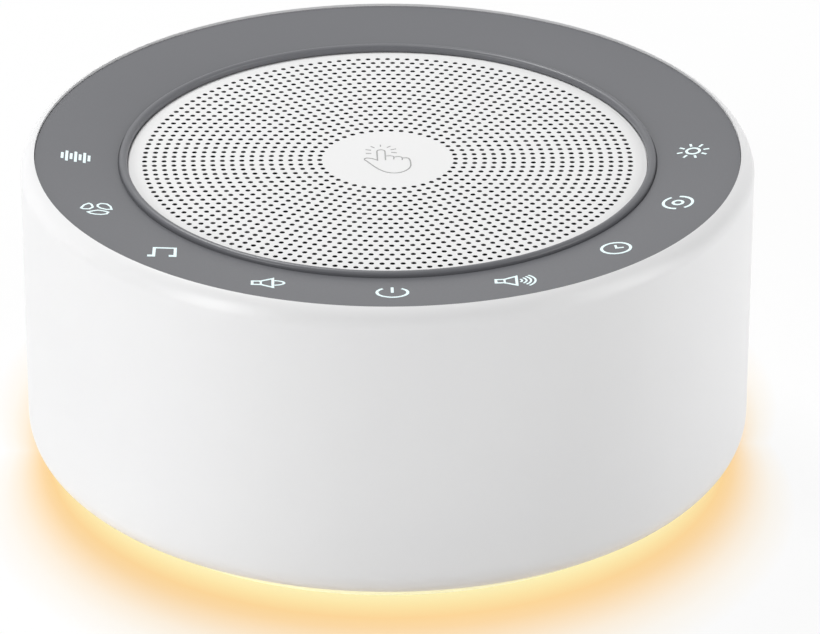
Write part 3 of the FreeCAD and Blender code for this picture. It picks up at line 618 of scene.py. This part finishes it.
def draw_note():
    """Two joined notes."""
    mark = Print()
    mark.line([(-2.1, -1.6), (-1.15, -1.6), (-1.1, 1.6), (1.97, 1.6), (1.97, -1.6), (1.05, -1.6)], 0.45)
    mark.line([(-2.1, -1.3), (-1.3, -1.3)], FINE_LINE)
    mark.line([(1.05, -1.3), (1.9, -1.3)], FINE_LINE)
    return mark


def draw_speaker(mark, back):
    """A loudspeaker sign: its box from back on, then its horn."""
    neck, mouth = back + 1.25, back + 3.0
    mark.line([(back, -0.66), (neck, -0.7), (mouth, -1.8), (mouth, 1.8), (neck, 0.7), (back, 0.66)],
              0.4, closed=True)
    mark.line([(neck, -0.7), (neck, 0.7)], FINE_LINE)


def draw_volume_down():
    mark = Print()
    draw_speaker(mark, -2.3)
    mark.line(round_arc((0.8, 0.0), 1.55, -85, 85, 14, 0.6), MEDIUM_LINE)
    return mark


def draw_volume_up():
    mark = Print()
    draw_speaker(mark, -2.9)
    for radius in (0.75, 1.4, 2.05, 2.7):
        mark.line(round_arc((0.15, 0.0), radius, -50, 50, 10), FINE_LINE)
    return mark


def draw_power():
    mark = Print()
    mark.line(round_arc((0, -0.15), 2.25, 128, 412, 28, 0.88), LINE)
    mark.line([(0, -0.25), (0, 1.95)], LINE)
    return mark


def draw_timer():
    mark = Print()
    mark.line(round_arc((0, 0), 2.15, 0, 345, 23), LINE, closed=True)
    mark.line([(0.05, 1.2), (0.05, 0.0), (1.15, 0.0)], MEDIUM_LINE)
    return mark


def draw_breath():
    """A small ring between two brackets."""
    mark = Print()
    mark.line(round_arc((0, 0), 0.75, 0, 340, 17), LINE, closed=True)
    mark.line(round_arc((0, 0), 2.2, 106, 254, 18), LINE)
    mark.line(round_arc((0, 0), 2.2, -74, 74, 18), LINE)
    return mark


def draw_sun():
    mark = Print()
    mark.line(round_arc((0, 0), 1.0, 0, 340, 17), 0.4, closed=True)
    for step in range(8):
        angle = math.radians(45 * step)
        mark.line([(r * math.cos(angle), r * math.sin(angle)) for r in (1.6, 2.5)], MEDIUM_LINE)
    return mark


# Name, drawing, turn in degrees, rise per millimetre to the right, and shift from the circle in mm
ICONS = [
    ("icon_sound_wave", draw_wave, 0, -0.08, (0.2, 0.0)),
    ("icon_fan", draw_fan, 0, 0.155, (0.05, -0.2)),
    ("icon_music_note", draw_note, 0, 0.118, (-0.2, 0.1)),
    ("icon_volume_down", draw_volume_down, 0, 0.06, (0.15, -0.2)),
    ("icon_power", draw_power, 0, 0.0, (0.2, 0.1)),
    ("icon_volume_up", draw_volume_up, 0, -0.04, (0.3, -0.2)),
    ("icon_timer", draw_timer, 5, 0.0, (0.23, 0.14)),
    ("icon_breathing", draw_breath, 5, 0.0, (0.12, 0.2)),
    ("icon_sun", draw_sun, 5, 0.0, (-0.1, 0.3)),
]


def make_icons():
    middle = len(ICONS) // 2
    for index, (name, draw, turn, rise, shift) in enumerate(ICONS):
        angle = math.radians(-90 + (index - middle) * ICON_PITCH)
        place = (ICON_SHIFT + ICON_CIRCLE * math.cos(angle) + shift[0] * MM,
                 ICON_CIRCLE * math.sin(angle) + shift[1] * MM)
        draw().lay(name, "icon", ring_height, place, turn, rise, "ring_grey")


def make_hand():
    """A pointing hand with seven tap rays."""
    mark = Print()
    mark.line([(-0.33, -0.33), (-0.3, 2.6)] + round_arc((-0.92, 2.75), 0.62, 15, 165, 8)
              + [(-1.54, 2.6), (-1.56, -0.33), (-2.3, 0.25), (-3.0, 0.5)]
              + bezier((-3.0, 0.5), (-3.55, 0.6), (-3.7, 0.05), (-3.35, -0.35), 6)[1:]
              + bezier((-3.35, -0.35), (-2.4, -1.9), (-1.3, -4.9), (0.8, -4.95), 14)[1:]
              + bezier((0.8, -4.95), (2.3, -4.95), (3.4, -3.6), (3.45, -2.2), 8)[1:]
              + bezier((3.45, -2.2), (3.5, -1.0), (3.45, 0.35), (2.9, 0.35), 6)[1:] + [(2.3, 0.35)],
              HAND_LINE)
    mark.line([(-0.3, 1.1), (0.4, 1.2), (0.85, 1.0), (1.0, 0.6), (0.92, -0.1)], FINGER_LINE)
    mark.line([(1.0, 0.7), (1.7, 0.85), (2.1, 0.65), (2.3, 0.3), (2.2, -0.35)], FINGER_LINE)
    rays = [((-0.9, 4.5), (-0.9, 5.15)), ((-2.4, 4.65), (-1.85, 4.05)), ((-3.25, 3.5), (-2.4, 3.25)),
            ((-3.25, 2.15), (-2.4, 2.15)), ((0.08, 4.1), (0.62, 4.65)), ((0.6, 3.3), (1.45, 3.6)),
            ((0.65, 2.4), (1.5, 2.15))]
    for ray in rays:
        mark.line(list(ray), RAY_LINE)
    mark.lay("tap_hand_print", "ink", lambda radius: GRILLE_TOP, (0, 0), 1.2, 0.0, "grille_white")


# Nodes that keep the frame's own shape, by the material they wear
FRAME_LOOKS = {
    "inner_white": ["bottom_cover", "light_connector", "board_connectors", "speaker_deck", "touch_connector"],
    "inner_black": ["controller_chip", "amplifier_chip", "sound_memory_chip", "power_jack_body",
                    "icon_light_baffle", "speaker_terminals"],
    "rubber": ["rubber_feet"],
    "steel": ["base_screws", "led_board_screws", "main_board_screws", "clock_crystal", "filter_capacitors",
              "power_jack_pin", "speaker_basket", "speaker_screws", "top_plate", "pole_yoke"],
    "board": ["led_ring_board", "main_board", "touch_board"],
    "lamp": ["light_leds", "icon_leds"],
    "guide": ["icon_light_guides"],
    "ferrite": ["choke_coil", "magnet"],
    "copper": ["centre_touch_pad", "voice_coil_winding"],
    "former": ["voice_coil_former", "speaker_spider"],
    "cone": ["speaker_cone", "dust_cap"],
    "foam": ["speaker_gasket", "speaker_surround"],
    "cloth": ["acoustic_cloth"],
    "cable": ["speaker_leads", "touch_cable", "light_cable"],
}


def dress_frame():
    for look, names in FRAME_LOOKS.items():
        for node in names:
            dress(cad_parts[node], look)


# Camera at the photograph's angle: image sizes, focal length and centre in pixels, angles in degrees
IMAGE_WIDTH = 820
IMAGE_HEIGHT = 634
FOCAL_PIXELS = 5280.13
CENTRE_X = 387.6
CENTRE_Y = 281.8
SENSOR_WIDTH = 36
CLIP_START = 10 * MM
CAMERA_TURN = -1.2
CAMERA_DROP = 26.78
CAMERA_DISTANCE = 816.57 * MM
CAMERA_TARGET = 29 * MM


def make_camera():
    data = bpy.data.cameras.new("camera")
    data.sensor_width = SENSOR_WIDTH
    data.lens = FOCAL_PIXELS / IMAGE_WIDTH * data.sensor_width
    data.shift_x = (IMAGE_WIDTH / 2 - CENTRE_X) / IMAGE_WIDTH
    data.shift_y = -(IMAGE_HEIGHT / 2 - CENTRE_Y) / IMAGE_WIDTH
    data.clip_start = CLIP_START
    camera = link("camera", data)
    turn, drop = math.radians(CAMERA_TURN), math.radians(CAMERA_DROP)
    reach = CAMERA_DISTANCE * math.cos(drop)
    camera.location = (reach * math.sin(turn), -reach * math.cos(turn),
                       CAMERA_TARGET + CAMERA_DISTANCE * math.sin(drop))
    look_at(camera, (0, 0, CAMERA_TARGET))
    bpy.context.scene.camera = camera


def look_at(obj, target):
    """Turns a camera or lamp to look at a point."""
    obj.rotation_euler = (Vector(target) - obj.location).to_track_quat("-Z", "Y").to_euler()


# Lamps: name, place and size in metres, power in watts
LAMPS = [
    ("left_box", (-0.61, -0.45, 0.28), (0.25, 0.6), 3.7),
    ("right_box", (0.73, -0.20, 0.30), (0.4, 0.7), 3.5),
    ("top_box", (-0.24, 0.44, 0.74), (0.25, 0.25), 4.3),
]
LAMP_TARGET = (0, 0, 30 * MM)
AMBIENT = 0.14


def area_light(name, place, size, power):
    data = bpy.data.lights.new(name, "AREA")
    data.shape = "RECTANGLE"
    data.size, data.size_y = size
    data.energy = power
    light = link(name, data)
    light.location = place
    look_at(light, LAMP_TARGET)


def seen_directly(tree):
    """1 for rays from the camera and for those that pass on by a mirror or through glass."""
    path = tree.nodes.new("ShaderNodeLightPath")
    seen = path.outputs["Is Camera Ray"]
    for other in ("Is Glossy Ray", "Is Transmission Ray"):
        larger = tree.nodes.new("ShaderNodeMath")
        larger.operation = "MAXIMUM"
        tree.links.new(seen, larger.inputs[0])
        tree.links.new(path.outputs[other], larger.inputs[1])
        seen = larger.outputs[0]
    return seen


def make_lights():
    for lamp in LAMPS:
        area_light(*lamp)
    world = bpy.data.worlds.new("studio")
    bpy.context.scene.world = world
    world.use_nodes = True
    tree = world.node_tree
    back = tree.nodes["Background"]
    back.inputs["Color"].default_value = (1, 1, 1, 1)
    level = tree.nodes.new("ShaderNodeMapRange")
    level.inputs["To Min"].default_value = AMBIENT
    level.inputs["To Max"].default_value = 1.0
    tree.links.new(seen_directly(tree), level.inputs["Value"])
    tree.links.new(level.outputs["Result"], back.inputs["Strength"])


# Floor: white to the camera, with the object's soft shadow and a painted warm pool of light around its base
FLOOR_HALF_SIZE = 3.0
FLOOR_DROP = 0.02 * MM
FLOOR_GREY = 244
SEEN_EMISSION_WEIGHT = 0.9
POOL_RADIUS = 53.1 * MM
POOL_SIDE_WIDTH = 2.2 * MM
POOL_FRONT_WIDTH = 7.4 * MM
POOL_START = -1.5
POOL_END = 3.5
# Colours of the painted pool of light by distance past its radius, as a share of its width there
PAINTED_POOL_STOPS = [
    (-1.5, (255, 247, 205)), (-0.9, (255, 243, 188)), (-0.4, (255, 229, 168)), (0.0, (255, 217, 156)),
    (0.4, (255, 220, 168)), (1.0, (255, 231, 198)), (1.6, (255, 242, 224)), (2.3, (255, 250, 242)),
    (3.3, (255, 255, 255)),
]


def painted_pool_colour(m):
    """The colour of the painted warm pool of light, which is wider in front and behind than at the sides."""
    split = m.add("ShaderNodeSeparateXYZ")
    m.link(m.place(), split.inputs["Vector"])
    flat = m.add("ShaderNodeCombineXYZ")
    m.link(split.outputs["X"], flat.inputs["X"])
    m.link(split.outputs["Y"], flat.inputs["Y"])
    length = m.add("ShaderNodeVectorMath", operation="LENGTH")
    m.link(flat.outputs["Vector"], length.inputs[0])
    distance = length.outputs["Value"]
    front = m.maths("ABSOLUTE", m.maths("DIVIDE", split.outputs["Y"], distance))
    width = m.span(front, POOL_SIDE_WIDTH, POOL_FRONT_WIDTH)
    share = m.maths("DIVIDE", m.maths("SUBTRACT", distance, POOL_RADIUS), width)
    scaled = m.add("ShaderNodeMapRange", {"From Min": POOL_START, "From Max": POOL_END})
    m.link(share, scaled.inputs["Value"])
    ramp = m.add("ShaderNodeValToRGB")
    marks = ramp.color_ramp.elements
    while len(marks) < len(PAINTED_POOL_STOPS):
        marks.new(0.5)
    for mark, (where, colour) in zip(marks, PAINTED_POOL_STOPS):
        mark.position = (where - POOL_START) / (POOL_END - POOL_START)
        mark.color = srgb(*colour)
    m.link(scaled.outputs["Result"], ramp.inputs["Fac"])
    return ramp.outputs["Color"]


def floor_material():
    """Neutral grey to bounced light, and the painted pool of light on white to rays that see the floor
    directly.
    """
    m = Nodes("pale_floor")
    pool = painted_pool_colour(m)
    seen = seen_directly(m.tree)
    ground = m.add("ShaderNodeMix", {"A": shade(FLOOR_GREY)}, data_type="RGBA")
    m.link(seen, ground.inputs["Factor"])
    m.link(pool, ground.inputs["B"])
    m.link(ground.outputs["Result"], m.shader.inputs["Base Color"])
    m.surface(Roughness=0.7, Specular_IOR_Level=0.0)
    # Emission that paints the white floor and the painted pool of light for rays that see the floor directly
    glow = m.add("ShaderNodeEmission")
    m.link(pool, glow.inputs["Color"])
    mix = m.add("ShaderNodeMixShader")
    m.link(m.maths("MULTIPLY", seen, SEEN_EMISSION_WEIGHT), mix.inputs["Fac"])
    m.link(m.shader.outputs["BSDF"], mix.inputs[1])
    m.link(glow.outputs["Emission"], mix.inputs[2])
    m.link(mix.outputs["Shader"], m.output.inputs["Surface"])
    return m.material


def make_floor():
    bm = bmesh.new()
    bmesh.ops.create_grid(bm, x_segments=1, y_segments=1, size=FLOOR_HALF_SIZE)
    floor = link("floor", baked("floor", bm))
    floor.location.z = -FLOOR_DROP
    floor.data.materials.append(floor_material())


make_shell()
make_ring()
make_diffuser()
make_grille()
make_icons()
make_hand()
dress_frame()
make_floor()
make_lights()
make_camera()
bpy.context.scene.view_settings.view_transform = "Standard"
